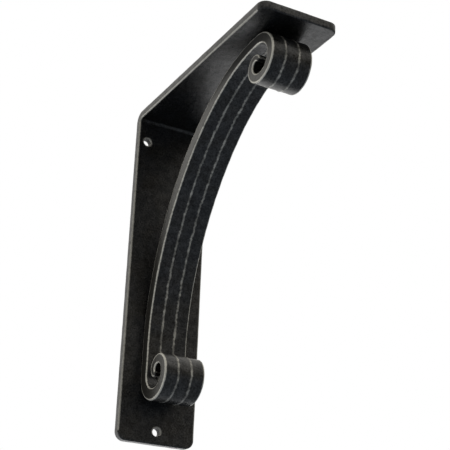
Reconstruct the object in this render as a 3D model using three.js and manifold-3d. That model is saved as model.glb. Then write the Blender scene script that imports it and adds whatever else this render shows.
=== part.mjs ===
// Wrought iron shelf bracket, in millimetres, +Z up, with the wall behind it at +Y.
// A flat bar is bent to a right angle. A narrower bar bows into its corner and is rolled into a
// scroll at each end. The origin lies on the back of the wall leg, halfway up, on the middle line.
import * as THREE from 'three';
import { mergeVertices } from 'three/addons/utils/BufferGeometryUtils.js';
import Module from 'manifold-3d';

const wasm = await Module();
wasm.setup();

// Mounting bar
const wallLegHeight = 254;
const shelfLegReach = 190.5;
const barWidth = 59.2;
const barThickness = 6;
const bendInside = 2.5; // radius inside the right angle
const barCorner = 6.5; // rounded corners at both ends of the bar
const barEdge = 0.9; // eased edges all round

// Screw holes in the wall leg: one low on the middle line and a pair near the top
const screwHole = 6;
const lowHoleUp = 8.8; // from the lower end
const highHoleDown = 24; // from the shelf face
const highHolesApart = 44;

// Scroll strap: thickest in the middle of its bow and drawn thinner towards its two tips
const strapWidth = 30.5;
const strapMiddle = 10.2;
const strapAtWall = 9;
const strapAtShelf = 7.8;
const strapTip = 4.2;
const strapTaper = 1.5; // above 1, most of the thinning lies near the tips
const strapEdge = 1.1;
const seatGap = 0.3; // between the strap and the mounting bar, filled by the weld
const straightFoot = 21; // the strap lies straight on the wall leg below the bow
const bowFoot = 66.8; // height at which the bow leaves the wall leg
const bowHead = 159.3; // distance from the wall at which the bow reaches the shelf leg
const bowFullness = 0.38; // how far the bow reaches into the corner, 0.41 being an ellipse

// Inside radius of each scroll at every quarter turn, from where it leaves the straight to its tip
const lowScroll = { inside: [11, 13, 7.7, 5.4, 2.2, 1.2], turn: 440 };
const highScroll = { inside: [16, 9.9, 10.4, 4.9, 2, 2.6], turn: 430 };

// Raised lines that part each face of the strap into equal bands
const bandCount = 3;
const lineWidth = 1.3;
const lineHeight = 0.35;

// Fineness of the facets
const edgeSteps = 2;
const bendSteps = 8;
const cornerSteps = 6;
const bowSteps = 34;
const quarterSteps = 8;
const holeSides = 32;
const drillPass = 3; // length of the drill in bar thicknesses, so that it comes out on both faces

const quarter = Math.PI / 2;
const mix = THREE.MathUtils.lerp;

// What an eased edge of this radius takes off at a distance from the end
function easeInset(distance, radius) {
  if (distance >= radius) return 0;
  return radius - Math.sqrt(radius * radius - (radius - distance) ** 2);
}

// Section across a bar, wall side up: eased corners, and any raised lines on both faces
function barSection(halfWidth, halfThickness, edge, lines) {
  const left = [];
  for (let i = 0; i <= edgeSteps; i++) {
    const turn = quarter * (i / edgeSteps);
    left.push([-halfWidth + edge * (1 - Math.cos(turn)), halfThickness - edge * (1 - Math.sin(turn))]);
  }
  const right = left.map(([across, up]) => [-across, up]).reverse();
  const face = [...left, ...lines.flat(), ...right];
  const back = face.map(([across, up]) => [across, -up]).reverse();
  return [...face, ...back];
}

// A closed bar through a row of stations, each with its place, its heading in the YZ plane, its half
// width, half thickness, edge radius and lines
function loftBar(stations) {
  const positions = [];
  const triangles = [];
  const count = barSection(1, 1, 0, stations[0].lines).length;
  for (const s of stations) {
    for (const [across, up] of barSection(s.halfWidth, s.halfThickness, s.edge, s.lines)) {
      positions.push(across, s.y + up * Math.sin(s.heading), s.z - up * Math.cos(s.heading));
    }
  }
  for (let i = 0; i + 1 < stations.length; i++) {
    for (let j = 0; j < count; j++) {
      const a = i * count + j;
      const b = i * count + ((j + 1) % count);
      triangles.push(a, a + count, b, b, a + count, b + count);
    }
  }
  const last = (stations.length - 1) * count;
  const startCentre = positions.length / 3;
  positions.push(0, stations[0].y, stations[0].z);
  positions.push(0, stations.at(-1).y, stations.at(-1).z);
  for (let j = 0; j < count; j++) {
    const next = (j + 1) % count;
    triangles.push(startCentre, j, next);
    triangles.push(startCentre + 1, last + next, last + j);
  }
  const geometry = new THREE.BufferGeometry();
  geometry.setAttribute('position', new THREE.Float32BufferAttribute(positions, 3));
  geometry.setIndex(triangles);
  return geometry;
}

function toSolid(geometry) {
  const bare = geometry.clone();
  bare.deleteAttribute('normal');
  bare.deleteAttribute('uv');
  const merged = mergeVertices(bare);
  return new wasm.Manifold(new wasm.Mesh({
    numProp: 3,
    vertProperties: new Float32Array(merged.attributes.position.array),
    triVerts: new Uint32Array(merged.index.array),
  }));
}

function toGeometry(solid) {
  const { vertProperties, triVerts } = solid.getMesh();
  const geometry = new THREE.BufferGeometry();
  geometry.setAttribute('position', new THREE.BufferAttribute(vertProperties, 3));
  geometry.setIndex(new THREE.BufferAttribute(triVerts, 1));
  return geometry;
}

// Distances from a bar's end at which its rounded corners and its eased end edge need a station
function endDistances(corner, edge) {
  const distances = [];
  for (let i = 0; i <= cornerSteps; i++) {
    distances.push(corner * (1 - Math.cos(quarter * (i / cornerSteps))));
  }
  for (let i = 1; i <= edgeSteps; i++) {
    distances.push(edge * (1 - Math.cos(quarter * (i / edgeSteps))));
  }
  return distances.sort((a, b) => a - b);
}

// Mounting bar: up the wall leg, round the bend and out along the shelf leg
function mountingBar() {
  const middle = barThickness / 2;
  const bend = bendInside + middle; // radius of the bar's middle line
  const rise = wallLegHeight - middle;
  const reach = shelfLegReach - middle;
  const stations = [];
  function station(y, z, heading, fromEnd) {
    const inset = easeInset(fromEnd, barEdge);
    stations.push({
      y,
      z,
      heading,
      halfWidth: barWidth / 2 - easeInset(fromEnd, barCorner),
      halfThickness: middle - inset,
      edge: barEdge,
      lines: [],
    });
  }
  for (const d of endDistances(barCorner, barEdge)) station(-middle, d, quarter, d);
  for (let i = 0; i <= bendSteps; i++) {
    const turn = quarter * (i / bendSteps);
    const y = -middle - bend * (1 - Math.cos(turn));
    const z = rise - bend * (1 - Math.sin(turn));
    station(y, z, quarter + turn, wallLegHeight);
  }
  for (const d of endDistances(barCorner, barEdge).reverse()) {
    station(-middle - reach + d, rise, 2 * quarter, d);
  }
  let bar = toSolid(loftBar(stations));
  const highHoles = wallLegHeight - highHoleDown;
  const places = [[0, lowHoleUp], [-highHolesApart / 2, highHoles], [highHolesApart / 2, highHoles]];
  const drillLength = barThickness * drillPass;
  for (const [x, z] of places) {
    const drill = new THREE.CylinderGeometry(screwHole / 2, screwHole / 2, drillLength, holeSides);
    drill.translate(x, -middle, z);
    bar = bar.subtract(toSolid(drill));
  }
  return toGeometry(bar);
}

// Middle line of a scroll: the radius shrinks from quarter turn to quarter turn while the bar gets
// thinner. It starts at a place and a heading, and side is +1 or -1 for the way it turns.
function scrollLine(y, z, heading, side, scroll, startThickness) {
  const total = THREE.MathUtils.degToRad(scroll.turn);
  const steps = Math.round((total / quarter) * quarterSteps);
  const angle = total / steps;
  const line = [{ y, z, heading, thickness: startThickness }];
  const thicknessAt = (share) => mix(startThickness, strapTip, share ** strapTaper);
  for (let i = 1; i <= steps; i++) {
    const quarters = ((i - 0.5) * angle) / quarter;
    const k = Math.min(Math.floor(quarters), scroll.inside.length - 2);
    const inside = mix(scroll.inside[k], scroll.inside[k + 1], quarters - k);
    const radius = inside + thicknessAt((i - 0.5) / steps) / 2;
    const middle = heading + side * (i - 0.5) * angle;
    y += radius * angle * Math.cos(middle);
    z += radius * angle * Math.sin(middle);
    line.push({ y, z, heading: heading + side * i * angle, thickness: thicknessAt(i / steps) });
  }
  return line;
}

// Middle line of the bow: a conic arc that leaves the wall leg upright and meets the shelf leg level
function bowLine(foot, head) {
  const weight = bowFullness / (1 - bowFullness);
  const line = [];
  for (let i = 0; i <= bowSteps; i++) {
    const t = i / bowSteps;
    const a = (1 - t) ** 2;
    const b = 2 * weight * t * (1 - t);
    const c = t ** 2;
    const y = (a * foot.y + b * foot.y + c * head.y) / (a + b + c);
    const z = (a * foot.z + b * head.z + c * head.z) / (a + b + c);
    // the tangent turns from foot-to-corner to corner-to-head
    const up = weight * (1 - t) ** 2 + t * (1 - t);
    const out = weight * t ** 2 + t * (1 - t);
    const heading = Math.atan2(up * (head.z - foot.z), out * (head.y - foot.y));
    const half = Math.abs(2 * t - 1);
    const thickness = mix(strapMiddle, t < 0.5 ? strapAtWall : strapAtShelf, half);
    line.push({ y, z, heading, thickness });
  }
  return line;
}

// Scroll strap: from the tip of the lower scroll, up the bow, to the tip of the upper scroll
function scrollStrap() {
  const seat = barThickness + seatGap + lineHeight;
  const foot = { y: -seat - strapAtWall / 2, z: bowFoot };
  const head = { y: -bowHead, z: wallLegHeight - seat - strapAtShelf / 2 };
  const low = scrollLine(foot.y, foot.z - straightFoot, -quarter, -1, lowScroll, strapAtWall);
  const upward = low.map((p) => ({ ...p, heading: p.heading + 2 * quarter })).reverse();
  const high = scrollLine(head.y, head.z, 2 * quarter, 1, highScroll, strapAtShelf);
  const line = [...upward, ...bowLine(foot, head), ...high.slice(1)];
  const first = line[0];
  const last = line.at(-1);
  const fromStart = (p) => Math.hypot(p.y - first.y, p.z - first.z);
  const fromEnd = (p) => Math.hypot(p.y - last.y, p.z - last.z);
  const stations = line.map((p, i) => {
    const near = i < line.length / 2 ? fromStart(p) : fromEnd(p);
    const inset = easeInset(near, strapEdge);
    const halfThickness = p.thickness / 2 - inset;
    const lines = [];
    for (let band = 1; band < bandCount; band++) {
      const at = strapWidth * (band / bandCount - 0.5);
      const height = lineHeight * (1 - inset / strapEdge);
      lines.push([
        [at - lineWidth / 2, halfThickness],
        [at, halfThickness + height],
        [at + lineWidth / 2, halfThickness],
      ]);
    }
    return {
      y: p.y,
      z: p.z,
      heading: p.heading,
      halfWidth: strapWidth / 2 - inset,
      halfThickness,
      edge: strapEdge,
      lines,
    };
  });
  return loftBar(stations);
}

const blackIron = { color: 0x1d1e1f, roughness: 0.5, metalness: 0.6 };

function piece(name, geometry) {
  geometry.computeVertexNormals();
  const mesh = new THREE.Mesh(geometry, new THREE.MeshStandardMaterial(blackIron));
  mesh.name = name;
  return mesh;
}

const bracket = new THREE.Group();
bracket.position.z = -wallLegHeight / 2;
bracket.add(piece('mounting_bar', mountingBar()));
bracket.add(piece('scroll_strap', scrollStrap()));

export default bracket;
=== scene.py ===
import math
import bmesh
import bpy
from mathutils import Matrix, Vector, noise


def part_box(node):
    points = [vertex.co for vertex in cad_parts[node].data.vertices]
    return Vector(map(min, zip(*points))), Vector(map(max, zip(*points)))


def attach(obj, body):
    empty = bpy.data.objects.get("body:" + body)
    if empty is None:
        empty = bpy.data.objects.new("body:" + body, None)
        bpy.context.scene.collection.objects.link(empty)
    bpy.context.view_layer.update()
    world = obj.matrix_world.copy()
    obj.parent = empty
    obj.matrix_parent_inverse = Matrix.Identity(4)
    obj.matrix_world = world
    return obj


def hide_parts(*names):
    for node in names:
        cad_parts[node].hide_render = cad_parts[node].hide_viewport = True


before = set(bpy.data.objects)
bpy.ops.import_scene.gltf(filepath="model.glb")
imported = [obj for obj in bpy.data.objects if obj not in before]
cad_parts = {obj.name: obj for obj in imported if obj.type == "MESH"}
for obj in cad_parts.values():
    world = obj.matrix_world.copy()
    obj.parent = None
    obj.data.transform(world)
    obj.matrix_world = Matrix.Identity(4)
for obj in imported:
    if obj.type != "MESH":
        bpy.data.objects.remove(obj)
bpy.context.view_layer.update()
mm = 0.001
quarter = math.pi / 2


# Mesh helpers
def clearSelection():
    if bpy.context.mode != "OBJECT":
        bpy.ops.object.mode_set(mode="OBJECT")
    bpy.ops.object.select_all(action="DESELECT")


def takeUp(piece):
    clearSelection()
    piece.select_set(True)
    bpy.context.view_layer.objects.active = piece


def startEditing(piece, element):
    takeUp(piece)
    bpy.ops.object.mode_set(mode="EDIT")
    bpy.ops.mesh.select_mode(type=element)
    bpy.ops.mesh.select_all(action="DESELECT")


def pickEdges(piece, wanted):
    cage = bmesh.from_edit_mesh(piece.data)
    for edge in cage.edges:
        edge.select_set(wanted(edge))
    bmesh.update_edit_mesh(piece.data)


def applyModifier(piece, modifier):
    takeUp(piece)
    bpy.ops.object.modifier_apply(modifier=modifier.name)


def keepValues(piece, name, values):
    attribute = piece.data.attributes.new(name, "FLOAT", "POINT")
    attribute.data.foreach_set("value", values)


# Places from start up to end, about a step apart, without the end itself
def evenly(start, end, step):
    count = max(1, round((end - start) / step))
    return [start + (end - start) * i / count for i in range(count)]


def mixed(a, b, share):
    return a + (b - a) * share


# Smithing: every bar is made straight along X, on edge, then hammered and rolled along its line
smithing = {
    "cornerSegments": 10,
    "edgeSegments": 4,
    "sharpAngle": 60,  # degrees
    "drillSides": 48,
    "drillPass": 3,  # length of the drill in bar thicknesses
    "cutReach": 0.02,  # an edge that ends this near a cut ends on it
    "weldReach": 0.01,  # points this near each other are one
}


def cutBar(name, length, width, thickness, corner, edge):
    clearSelection()
    bpy.ops.mesh.primitive_cube_add(size=1, location=(length / 2 * mm, 0, 0),
                                    scale=(length * mm, thickness * mm, width * mm))
    bar = bpy.context.object
    bar.name = name
    bar.data.name = name
    bpy.ops.object.transform_apply(location=True, rotation=True, scale=True)
    if corner:
        startEditing(bar, "EDGE")
        pickEdges(bar, lambda e: abs(e.verts[0].co.y - e.verts[1].co.y) > thickness / 2 * mm)
        bpy.ops.mesh.bevel(offset=corner * mm, offset_type="OFFSET", segments=smithing["cornerSegments"],
                           profile=0.5, affect="EDGES")
    easeEdges(bar, edge)
    return bar


def easeEdges(bar, edge):
    startEditing(bar, "EDGE")
    pickEdges(bar, lambda e: e.calc_face_angle(0) > math.radians(smithing["sharpAngle"]))
    bpy.ops.mesh.bevel(offset=edge * mm, offset_type="OFFSET", segments=smithing["edgeSegments"],
                       profile=0.5, affect="EDGES")


def drillBar(bar, along, across, hole, thickness):
    clearSelection()
    bpy.ops.mesh.primitive_cylinder_add(vertices=smithing["drillSides"], radius=hole / 2 * mm,
                                        depth=smithing["drillPass"] * thickness * mm,
                                        location=(along * mm, 0, across * mm), rotation=(quarter, 0, 0))
    drill = bpy.context.object
    cut = bar.modifiers.new("drill", "BOOLEAN")
    cut.operation = "DIFFERENCE"
    cut.solver = "EXACT"
    cut.object = drill
    applyModifier(bar, cut)
    bpy.data.objects.remove(drill)


def scoreBar(bar, direction, places):
    startEditing(bar, "VERT")
    axis = Vector(direction)
    for place in places:
        bpy.ops.mesh.select_all(action="SELECT")
        bpy.ops.mesh.bisect(plane_co=axis * place * mm, plane_no=axis, threshold=smithing["weldReach"] * mm)
    bpy.ops.object.mode_set(mode="OBJECT")


# Divides the bar's length between two cuts that already go round it
def divideLength(bar, start, end, facet):
    def runsBetween(edge):
        low, high = sorted(v.co.x / mm for v in edge.verts)
        return abs(low - start) < smithing["cutReach"] and abs(high - end) < smithing["cutReach"]

    startEditing(bar, "EDGE")
    pickEdges(bar, runsBetween)
    bpy.ops.mesh.subdivide(number_cuts=round((end - start) / facet) - 1)
    bpy.ops.object.mode_set(mode="OBJECT")


def hammerBar(bar, grain, depth):
    pattern = bpy.data.textures.new("hammerMarks", "CLOUDS")
    pattern.noise_scale = grain * mm
    pattern.noise_depth = 1
    blows = bar.modifiers.new("hammer", "DISPLACE")
    blows.texture = pattern
    blows.texture_coords = "LOCAL"
    blows.strength = depth * mm
    blows.mid_level = 0.5
    applyModifier(bar, blows)


def rollBar(bar, line):
    data = bpy.data.curves.new("rollingLine", "CURVE")
    data.dimensions = "2D"
    spline = data.splines.new("POLY")
    spline.points.add(len(line) - 1)
    for point, (y, z) in zip(spline.points, line):
        point.co = (y * mm, z * mm, 0, 1)
    guide = bpy.data.objects.new("rollingLine", data)
    bpy.context.scene.collection.objects.link(guide)
    roll = bar.modifiers.new("roll", "CURVE")
    roll.object = guide
    roll.deform_axis = "POS_X"
    applyModifier(bar, roll)
    bpy.data.objects.remove(guide)
    takeUp(bar)
    bar.rotation_euler = (quarter, 0, quarter)  # X becomes Y, Y becomes Z and Z becomes X
    bpy.ops.object.transform_apply(location=True, rotation=True, scale=True)
    startEditing(bar, "VERT")
    bpy.ops.mesh.select_all(action="SELECT")
    bpy.ops.mesh.remove_doubles(threshold=smithing["weldReach"] * mm)
    bpy.ops.mesh.normals_make_consistent(inside=False)
    bpy.ops.object.mode_set(mode="OBJECT")
    bpy.ops.object.shade_smooth()


# How far inside the outline of a straight bar a point lies, on the plan of its wide face
def insideOutline(along, across, length, width, corner):
    side = width / 2 - abs(across)
    end = min(along, length - along)
    if side < corner and end < corner:
        return corner - math.hypot(corner - side, corner - end)
    return min(side, end)


# Mounting bar
barLow, barHigh = [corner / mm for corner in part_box("mounting_bar")]
mountingBar = {
    "width": barHigh.x - barLow.x,
    "height": barHigh.z - barLow.z,
    "reach": barHigh.y - barLow.y,
    "thickness": 6,
    "bendInside": 2.5,
    "corner": 6.5,
    "edge": 0.9,
    "hole": 6,
    "rim": 0.6,
    "lowHoleUp": 8.8,
    "highHoleDown": 24,
    "highHolesApart": 44,
    "lineStep": 1,
    "bendStep": 3,  # degrees
    "facet": 1.5,
    "bendFacet": 0.8,
    "hammerGrain": 9,
    "hammerDepth": 0.22,
    "edgeBare": 0.6,
    "edgeWaxed": 1.3,
    "edgeRub": 0.62,
    "wallSideWax": 0.5,  # spares the edges on the wall side, and the next one those at both ends
    "endWax": 0.8,
    "drilledReach": 0.1,  # points this near a hole's wall belong to it
    "sawnSides": 0,
}


def mountingBarLine(s):
    middle = s["thickness"] / 2
    bend = s["bendInside"] + middle
    bottom = barLow.z
    top = barHigh.z - middle
    line = [(-middle, z) for z in evenly(bottom, top - bend, s["lineStep"])]
    for turn in evenly(0, quarter, math.radians(s["bendStep"])):
        line.append((-middle - bend * (1 - math.cos(turn)), top - bend * (1 - math.sin(turn))))
    out = evenly(middle + bend, s["reach"], s["lineStep"]) + [s["reach"]]
    return line + [(-y, top) for y in out]


def makeMountingBar(s):
    middle = s["thickness"] / 2
    bend = s["bendInside"] + middle
    rise = s["height"] - middle - bend
    run = s["reach"] - middle - bend
    bow = bend * quarter
    length = rise + bow + run
    bar = cutBar("mountingBar", length, s["width"], s["thickness"], s["corner"], s["edge"])
    highHoles = s["height"] - s["highHoleDown"]
    halfApart = s["highHolesApart"] / 2
    holes = [(highHoles, -halfApart), (highHoles, halfApart), (s["lowHoleUp"], 0)]
    for along, across in holes:
        drillBar(bar, along, across, s["hole"], s["thickness"])
    easeEdges(bar, s["rim"])

    # facets lengthwise, and across at the holes, the bend and the ends; plain runs are divided last
    scoreBar(bar, (0, 0, 1), evenly(-s["width"] / 2, s["width"] / 2, s["facet"]))
    scoreBar(bar, (0, 1, 0), [-middle / 3, middle / 3])
    lowDone = s["lowHoleUp"] + s["hole"]
    highStart = highHoles - s["hole"]
    halfWay = (lowDone + highStart) / 2
    cornerStart = length - s["corner"] - s["facet"]
    outWay = (rise + bow + cornerStart) / 2
    holed = evenly(0, lowDone, s["facet"]) + evenly(highStart, highHoles + s["hole"], s["facet"])
    bent = evenly(highHoles + s["hole"], rise, s["facet"]) + evenly(rise, rise + bow, s["bendFacet"])
    ends = [lowDone, halfWay, rise + bow, outWay] + evenly(cornerStart, length, s["facet"])
    scoreBar(bar, (1, 0, 0), holed + bent + ends)
    plain = [(lowDone, halfWay), (halfWay, highStart), (rise + bow, outWay), (outWay, cornerStart)]
    for start, end in plain:
        divideLength(bar, start, end, s["facet"])

    gaps = []
    drilled = []
    for v in bar.data.vertices:
        along, across = v.co.x / mm, v.co.z / mm
        inside = insideOutline(along, across, length, s["width"], s["corner"])
        rim = min(math.hypot(along - x, across - z) for x, z in holes) - s["hole"] / 2
        spared = s["wallSideWax"] if v.co.y < 0 else 0
        if min(along, length - along) < s["corner"]:
            spared = s["endWax"]
        gaps.append(min(inside, rim) + middle - abs(v.co.y) / mm + spared)
        drilled.append(1.0 if rim < s["drilledReach"] else 0.0)
    keepValues(bar, "edgeGap", gaps)
    keepValues(bar, "drilled", drilled)
    hammerBar(bar, s["hammerGrain"], s["hammerDepth"])
    rollBar(bar, mountingBarLine(s))
    return bar


# Scroll strap
scrollStrap = {
    "width": 30.5,
    "middle": 10.2,
    "atWall": 9,
    "atShelf": 7.8,
    "tip": 4.2,
    "taper": 1.5,
    "tipRound": 2,
    "tipBlunt": 0.4,  # share of the thickness left at the very end
    "edge": 1.1,
    "weldGap": 0.3,
    "straightFoot": 21,
    "bowFoot": 66.8,
    "bowHead": 159.3,
    "fullness": 0.38,
    "lowScroll": {"inside": [11, 13, 7.7, 5.4, 2.2, 1.2], "turn": 440},
    "highScroll": {"inside": [16, 9.9, 10.4, 4.9, 2, 2.6], "turn": 430},
    "lineStep": 1,
    "turnStep": 2.5,  # degrees
    "bowSteps": 220,
    "lines": [-1 / 6, 1 / 6],  # raised lines, as shares of the width
    "lineWidth": 1.2,
    "lineHeight": 0.35,
    "lineSlope": 0.42,
    "lineWander": 0.55,
    "wanderLength": 9,
    "ripple": 0.45,
    "rippleFineness": 3.7,
    "lineFullness": 0.8,
    "lineLumps": 0.5,
    "lumpFineness": 5.3,
    "tipRun": 4.2,
    "stretch": 60,
    "facet": 0.9,
    "wideFacet": 1.3,
    "fineFacet": 0.4,
    "hammerGrain": 7,
    "hammerDepth": 0.3,
    "edgeBare": 0.65,
    "edgeWaxed": 1.05,
    "edgeRub": 1,
    "wallSideWear": 0.2,  # more wear on the outer side of the coils
    "sawnSides": 1,
}


# Middle line of a scroll, as (y, z, thickness): its inside radius changes at every quarter turn
def scrollLine(s, y, z, heading, side, scroll, startThickness):
    total = math.radians(scroll["turn"])
    steps = round(total / math.radians(s["turnStep"]))
    angle = total / steps

    def thicknessAt(share):
        return mixed(startThickness, s["tip"], share ** s["taper"])

    line = []
    for i in range(steps):
        quarters = (i + 0.5) * angle / quarter
        k = min(int(quarters), len(scroll["inside"]) - 2)
        inside = mixed(scroll["inside"][k], scroll["inside"][k + 1], quarters - k)
        radius = inside + thicknessAt((i + 0.5) / steps) / 2
        y += radius * angle * math.cos(heading + side * (i + 0.5) * angle)
        z += radius * angle * math.sin(heading + side * (i + 0.5) * angle)
        line.append((y, z, thicknessAt((i + 1) / steps)))
    return line


# Middle line of the bow: a conic arc that leaves the wall leg upright and meets the shelf leg level
def bowLine(s, foot, head):
    weight = s["fullness"] / (1 - s["fullness"])
    line = []
    for i in range(s["bowSteps"] + 1):
        t = i / s["bowSteps"]
        a, b, c = (1 - t) ** 2, 2 * weight * t * (1 - t), t ** 2
        y = (a * foot[0] + b * foot[0] + c * head[0]) / (a + b + c)
        z = (a * foot[1] + b * head[1] + c * head[1]) / (a + b + c)
        end = s["atWall"] if t < 0.5 else s["atShelf"]
        line.append((y, z, mixed(s["middle"], end, abs(2 * t - 1))))
    return line


def scrollStrapLine(s):
    seat = mountingBar["thickness"] + s["weldGap"] + s["lineHeight"]
    foot = (-seat - s["atWall"] / 2, barLow.z + s["bowFoot"])
    head = (-s["bowHead"], barHigh.z - seat - s["atShelf"] / 2)
    start = foot[1] - s["straightFoot"]
    low = scrollLine(s, foot[0], start, -quarter, -1, s["lowScroll"], s["atWall"])
    straight = [(foot[0], z, s["atWall"]) for z in evenly(start, foot[1], s["lineStep"])]
    high = scrollLine(s, *head, 2 * quarter, 1, s["highScroll"], s["atShelf"])
    return low[::-1] + straight + bowLine(s, foot, head) + high


def distances(line):
    total = 0
    result = [0]
    for a, b in zip(line, line[1:]):
        total += math.hypot(b[0] - a[0], b[1] - a[1])
        result.append(total)
    return result


# Fine facets at the raised lines and the tips, wider ones between them
def scoreStrap(bar, s, length):
    half = s["width"] / 2
    beside = s["lineWidth"] + s["lineWander"]
    places = []
    start = -half
    for share in s["lines"]:
        at = s["width"] * share
        places += evenly(start, at - beside, s["wideFacet"])
        places += evenly(at - beside, at + beside, s["fineFacet"])
        start = at + beside
    places += evenly(start, half, s["wideFacet"])
    scoreBar(bar, (0, 0, 1), places)
    scoreBar(bar, (0, 1, 0), [s["middle"] * share for share in (-0.25, 0, 0.25)])
    highTip = length - s["tipRun"]
    stretches = evenly(s["tipRun"], highTip, s["stretch"]) + [highTip]
    scoreBar(bar, (1, 0, 0), evenly(0, s["tipRun"], s["facet"]) + stretches)
    scoreBar(bar, (1, 0, 0), evenly(highTip, length, s["facet"]))
    for start, end in zip(stretches, stretches[1:]):
        divideLength(bar, start, end, s["facet"])


# Draws the strap thinner towards both rounded tips and raises the rough lines on both faces
def drawOutStrap(bar, s, line, marks):
    length = marks[-1]
    faces = [abs(v.normal.y) > 0.9 for v in bar.data.vertices]
    gaps = [0.0] * len(faces)
    offLine = [[0.0] * len(faces) for share in s["lines"]]
    k = 0
    for v in sorted(bar.data.vertices, key=lambda v: v.co.x):
        along, across = v.co.x / mm, v.co.z / mm
        while k + 2 < len(marks) and marks[k + 1] < along:
            k += 1
        share = (along - marks[k]) / (marks[k + 1] - marks[k])
        thickness = mixed(line[k][2], line[k + 1][2], min(max(share, 0), 1))
        fromTip = max(0, min(along, length - along, s["tipRound"])) / s["tipRound"]
        v.co.y *= thickness / s["middle"] * mixed(s["tipBlunt"], 1, math.sqrt(1 - (1 - fromTip) ** 2))
        worn = s["wallSideWear"] if v.co.y < 0 else 0
        inside = insideOutline(along, across, length, s["width"], s["edge"])
        gaps[v.index] = inside + thickness / 2 - abs(v.co.y) / mm - worn
        side = math.copysign(1, v.co.y)
        rise = 0
        for share, off in zip(s["lines"], offLine):
            seed = Vector((along / s["wanderLength"], side * 7, share * 31))  # each line wanders alone
            wander = noise.noise(seed) + s["ripple"] * noise.noise(seed * s["rippleFineness"])
            off[v.index] = across - s["width"] * share - s["lineWander"] * wander
            lumps = noise.noise(seed * s["lumpFineness"] + Vector((0, 0, 11)))
            fullness = s["lineFullness"] + s["lineLumps"] * lumps
            rise += fullness * math.exp(-(off[v.index] / (s["lineWidth"] * s["lineSlope"])) ** 2)
        if faces[v.index]:
            v.co.y += side * rise * s["lineHeight"] * mm
    keepValues(bar, "edgeGap", gaps)
    keepValues(bar, "leftLine", offLine[0])
    keepValues(bar, "rightLine", offLine[1])


def makeScrollStrap(s):
    line = scrollStrapLine(s)
    marks = distances(line)
    bar = cutBar("scrollStrap", marks[-1], s["width"], s["middle"], 0, s["edge"])
    scoreStrap(bar, s, marks[-1])
    drawOutStrap(bar, s, line, marks)
    hammerBar(bar, s["hammerGrain"], s["hammerDepth"])
    rollBar(bar, [(y, z) for y, z, thickness in line])
    return bar


# Materials
def linear(text):
    channels = [int(text[i:i + 2], 16) / 255 for i in (1, 3, 5)]
    return [c / 12.92 if c <= 0.04045 else ((c + 0.055) / 1.055) ** 2.4 for c in channels] + [1]


# Adds a node. Settings are its own properties. Inputs go by name, or in order as a list, and each
# is a value, a socket, or a node whose first output in use is linked.
def addNode(tree, kind, inputs=(), **settings):
    node = tree.nodes.new(kind)
    for key, value in settings.items():
        setattr(node, key, value)
    for key, value in inputs.items() if isinstance(inputs, dict) else enumerate(inputs):
        if isinstance(value, bpy.types.Node):
            value = next(socket for socket in value.outputs if socket.enabled)
        if isinstance(value, bpy.types.NodeSocket):
            tree.links.new(value, node.inputs[key])
        else:
            node.inputs[key].default_value = value
    return node


def perMm(size):
    return 1 / (size * mm)


# Black wax burnt onto forged mild steel: nearly black and satin, pebbled by scale and hammer, thin and
# shinier in patches, with the wax rubbed through to bright steel on edges and raised lines. The sawn
# sides of the strap are a smoother dark grey, and the wax inside the drilled holes is dull.
waxedIron = {
    "wax": "#151412",
    "blueWax": "#16181b",
    "steel": "#c8c6be",
    "steelMetallic": 0.4,
    "rubbedRoughness": 0.5,
    "sawn": "#32312e",
    "sawnShine": 0.38,
    "sawnRoughness": 0.3,
    "drilledShine": 0.1,
    "waxRoughness": 0.38,
    "roughnessSpread": 0.12,
    "patch": 14,  # sizes of the four patterns in mm
    "mottle": 4.5,
    "pebble": 1.2,  # coarser than real scale, so that it shows
    "scuff": 1.9,
    "patchSpan": (0.4, 0.6),  # the part of each noise that makes the whole change
    "shineSpan": (0.35, 0.65),
    "roughnessSpan": (0.3, 0.7),
    "scuffSpan": (0.25, 0.75),
    "lineSpan": (0.4, 0.6),
    "mottleShine": 0.55,
    "pebbleShine": 0.4,
    "pebbleDepth": 0.12,
    "fray": 0.45,
    "lineFray": 1.2,
    "lineBare": 0.1,
    "lineWaxed": 1.05,
    "lineRub": 0.8,
    "lineFaint": 0.4,
}


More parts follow.
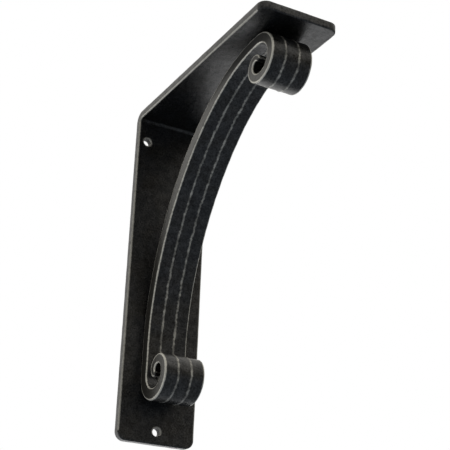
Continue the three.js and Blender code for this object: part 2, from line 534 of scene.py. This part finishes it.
def waxedIronMaterial(s, name, piece, withLines):
    material = bpy.data.materials.new(name)
    material.use_nodes = True
    tree = material.node_tree
    tree.nodes.clear()
    place = addNode(tree, "ShaderNodeTexCoord").outputs["Object"]
    across = addNode(tree, "ShaderNodeSeparateXYZ", [place]).outputs["X"]
    patches, mottle, pebbles, scuffs = [
        addNode(tree, "ShaderNodeTexNoise", {"Vector": place, "Scale": perMm(s[size]), "Detail": detail})
        for size, detail in (("patch", 3.0), ("mottle", 4.0), ("pebble", 3.0), ("scuff", 5.0))]

    # where the wax is rubbed off: the edges, with a frayed border, and the raised lines
    gap = addNode(tree, "ShaderNodeAttribute", attribute_name="edgeGap").outputs["Fac"]
    fray = addNode(tree, "ShaderNodeMapRange", [scuffs, *s["scuffSpan"], s["fray"] / 2, -s["fray"] / 2])
    frayed = addNode(tree, "ShaderNodeMath", [gap, fray], operation="ADD")
    rubbed = addNode(tree, "ShaderNodeMapRange",
                     [frayed, piece["edgeBare"], piece["edgeWaxed"], piece["edgeRub"], 0.0])
    if withLines:
        left = addNode(tree, "ShaderNodeAttribute", attribute_name="leftLine").outputs["Fac"]
        right = addNode(tree, "ShaderNodeAttribute", attribute_name="rightLine").outputs["Fac"]
        offLeft = addNode(tree, "ShaderNodeMath", [left], operation="ABSOLUTE")
        offRight = addNode(tree, "ShaderNodeMath", [right], operation="ABSOLUTE")
        offLine = addNode(tree, "ShaderNodeMath", [offLeft, offRight], operation="MINIMUM")
        lineFray = addNode(tree, "ShaderNodeMapRange",
                           [scuffs, *s["scuffSpan"], s["lineFray"] / 2, -s["lineFray"] / 2])
        roughLine = addNode(tree, "ShaderNodeMath", [offLine, lineFray], operation="ADD")
        ridge = addNode(tree, "ShaderNodeMapRange",
                        [roughLine, s["lineBare"], s["lineWaxed"], s["lineRub"], 0.0])
        faint = addNode(tree, "ShaderNodeMapRange", [mottle, *s["lineSpan"], s["lineFaint"], 1.0])
        worn = addNode(tree, "ShaderNodeMath", [ridge, faint], operation="MULTIPLY")
        rubbed = addNode(tree, "ShaderNodeMath", [rubbed, worn], operation="MAXIMUM")

    # sawn sides and drilled holes
    sideStart = (piece["width"] / 2 - piece["edge"]) * mm
    offMiddle = addNode(tree, "ShaderNodeMath", [across], operation="ABSOLUTE")
    sawn = addNode(tree, "ShaderNodeMapRange",
                   [offMiddle, sideStart, sideStart + piece["edge"] / 2 * mm, 0.0, piece["sawnSides"]])
    drilled = addNode(tree, "ShaderNodeAttribute", attribute_name="drilled").outputs["Fac"]

    # colour
    blue = addNode(tree, "ShaderNodeMapRange", [patches, *s["patchSpan"]])
    wax = addNode(tree, "ShaderNodeMix", {"Factor": blue, "A": linear(s["wax"]), "B": linear(s["blueWax"])},
                  data_type="RGBA")
    sided = addNode(tree, "ShaderNodeMix", {"Factor": sawn, "A": wax, "B": linear(s["sawn"])},
                    data_type="RGBA")
    colour = addNode(tree, "ShaderNodeMix", {"Factor": rubbed, "A": sided, "B": linear(s["steel"])},
                     data_type="RGBA")
    metallic = addNode(tree, "ShaderNodeMapRange", [rubbed, 0.0, 0.5, 0.0, s["steelMetallic"]])

    # shine
    mottled = addNode(tree, "ShaderNodeMapRange", [mottle, *s["shineSpan"], s["mottleShine"], 1.0])
    pebbled = addNode(tree, "ShaderNodeMapRange", [pebbles, *s["shineSpan"], s["pebbleShine"], 1.0])
    waxShine = addNode(tree, "ShaderNodeMath", [mottled, pebbled], operation="MULTIPLY")
    sidedShine = addNode(tree, "ShaderNodeMix", {"Factor": sawn, "A": waxShine, "B": s["sawnShine"]})
    shine = addNode(tree, "ShaderNodeMix", {"Factor": drilled, "A": sidedShine, "B": s["drilledShine"]})

    # roughness
    smoothest = s["waxRoughness"] - s["roughnessSpread"]
    roughest = s["waxRoughness"] + s["roughnessSpread"]
    waxRough = addNode(tree, "ShaderNodeMapRange", [pebbles, *s["roughnessSpan"], smoothest, roughest])
    sidedRough = addNode(tree, "ShaderNodeMix", {"Factor": sawn, "A": waxRough, "B": s["sawnRoughness"]})
    roughness = addNode(tree, "ShaderNodeMix",
                        {"Factor": rubbed, "A": sidedRough, "B": s["rubbedRoughness"]})
    bump = addNode(tree, "ShaderNodeBump", {"Height": pebbles, "Distance": s["pebbleDepth"] * mm})
    shader = addNode(tree, "ShaderNodeBsdfPrincipled", {
        "Base Color": colour, "Metallic": metallic, "Roughness": roughness,
        "Specular IOR Level": shine, "Normal": bump})
    addNode(tree, "ShaderNodeOutputMaterial", {"Surface": shader})
    return material


def finishPiece(piece, material, node):
    piece.data.materials.clear()
    piece.data.materials.append(material)
    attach(piece, "root")
    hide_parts(node)


# Studio: white paper all round the back, a darker room in front with a lighter ceiling and left
# side, and a pale floor well below. The camera stands where the photograph's did.
studio = {
    "camera": (-341.09, -736.47, -289.28),
    "yaw": 0.48943,
    "pitch": 0.38936,
    "roll": 0.03945,
    "focal": 1152.44,  # in pixels of the picture
    "picture": 450,
    "sensor": 36,
    "paper": "#ffffff",
    "paperAbove": "#dcdad5",
    "ceiling": "#d6d3cd",
    "roomAbove": "#716c63",
    "roomBelow": "#757a80",
    "leftAbove": "#83827d",
    "leftBelow": "#c8c8c6",
    "heightSpan": (-0.2, 0.2),  # where one part of the studio turns into the next, by direction
    "paperSpan": (0.5, 0.7),
    "ceilingSpan": (0.38, 0.6),
    "leftSpan": (-0.6, -0.8),
    "light": 1.56,
    "floor": "#e8ebee",
    "floorRoughness": 0.8,
    "floorDown": 750,
    "floorAcross": 8000,
}


def makeCamera(s):
    data = bpy.data.cameras.new("photoCamera")
    data.sensor_width = s["sensor"]
    data.lens = s["focal"] / s["picture"] * s["sensor"]
    data.clip_start = 0.01
    data.clip_end = 50
    camera = bpy.data.objects.new("photoCamera", data)
    bpy.context.scene.collection.objects.link(camera)
    yaw, pitch, roll = s["yaw"], s["pitch"], s["roll"]
    ahead = Vector((math.sin(yaw) * math.cos(pitch), math.cos(yaw) * math.cos(pitch), math.sin(pitch)))
    right = Vector((math.cos(yaw), -math.sin(yaw), 0))
    up = right.cross(ahead)
    turned = Matrix((right * math.cos(roll) + up * math.sin(roll),
                     up * math.cos(roll) - right * math.sin(roll), -ahead)).transposed()
    camera.matrix_world = Matrix.Translation(Vector(s["camera"]) * mm) @ turned.to_4x4()
    bpy.context.scene.camera = camera


def makeFloor(s):
    clearSelection()
    bpy.ops.mesh.primitive_plane_add(size=s["floorAcross"] * mm, location=(0, 0, -s["floorDown"] * mm))
    floor = bpy.context.object
    floor.name = "floor"
    material = bpy.data.materials.new("paleFloor")
    material.use_nodes = True
    shader = material.node_tree.nodes["Principled BSDF"]
    shader.inputs["Base Color"].default_value = linear(s["floor"])
    shader.inputs["Roughness"].default_value = s["floorRoughness"]
    floor.data.materials.append(material)
    floor.visible_glossy = False  # the iron mirrors the studio's light, below it too
    floor.visible_diffuse = False


def makeSky(s):
    world = bpy.data.worlds.new("studio")
    bpy.context.scene.world = world
    world.use_nodes = True
    tree = world.node_tree
    tree.nodes.clear()
    place = addNode(tree, "ShaderNodeTexCoord").outputs["Generated"]
    axes = addNode(tree, "ShaderNodeSeparateXYZ", [place]).outputs
    height = addNode(tree, "ShaderNodeMapRange", [axes["Z"], *s["heightSpan"]])
    steep = addNode(tree, "ShaderNodeMapRange", [axes["Z"], *s["ceilingSpan"]])
    aside = addNode(tree, "ShaderNodeMapRange", [axes["X"], *s["leftSpan"]])
    depth = addNode(tree, "ShaderNodeMapRange", [axes["Y"], *s["paperSpan"]])
    shades = ("roomBelow", "roomAbove"), ("leftBelow", "leftAbove"), ("paper", "paperAbove")
    front, left, paper = [
        addNode(tree, "ShaderNodeMix", {"Factor": height, "A": linear(s[below]), "B": linear(s[above])},
                data_type="RGBA")
        for below, above in shades]
    room = addNode(tree, "ShaderNodeMix", {"Factor": steep, "A": front, "B": linear(s["ceiling"])},
                   data_type="RGBA")
    near = addNode(tree, "ShaderNodeMix", {"Factor": aside, "A": room, "B": left}, data_type="RGBA")
    around = addNode(tree, "ShaderNodeMix", {"Factor": depth, "A": near, "B": paper}, data_type="RGBA")
    lit = addNode(tree, "ShaderNodeBackground", {"Color": around, "Strength": s["light"]})
    seen = addNode(tree, "ShaderNodeBackground", {"Color": linear(s["paper"]), "Strength": 1.0})
    direct = addNode(tree, "ShaderNodeLightPath").outputs["Is Camera Ray"]
    both = addNode(tree, "ShaderNodeMixShader", [direct, lit, seen])
    addNode(tree, "ShaderNodeOutputWorld", {"Surface": both})


makeCamera(studio)
makeFloor(studio)
makeSky(studio)
print("studio ready")

mountingPiece = makeMountingBar(mountingBar)
barIron = waxedIronMaterial(waxedIron, "waxedBarIron", mountingBar, False)
finishPiece(mountingPiece, barIron, "mounting_bar")
print("mounting bar ready", len(mountingPiece.data.polygons))

strapPiece = makeScrollStrap(scrollStrap)
strapIron = waxedIronMaterial(waxedIron, "waxedStrapIron", scrollStrap, True)
finishPiece(strapPiece, strapIron, "scroll_strap")
print("scroll strap ready", len(strapPiece.data.polygons))

bpy.context.scene.view_settings.view_transform = "Standard"
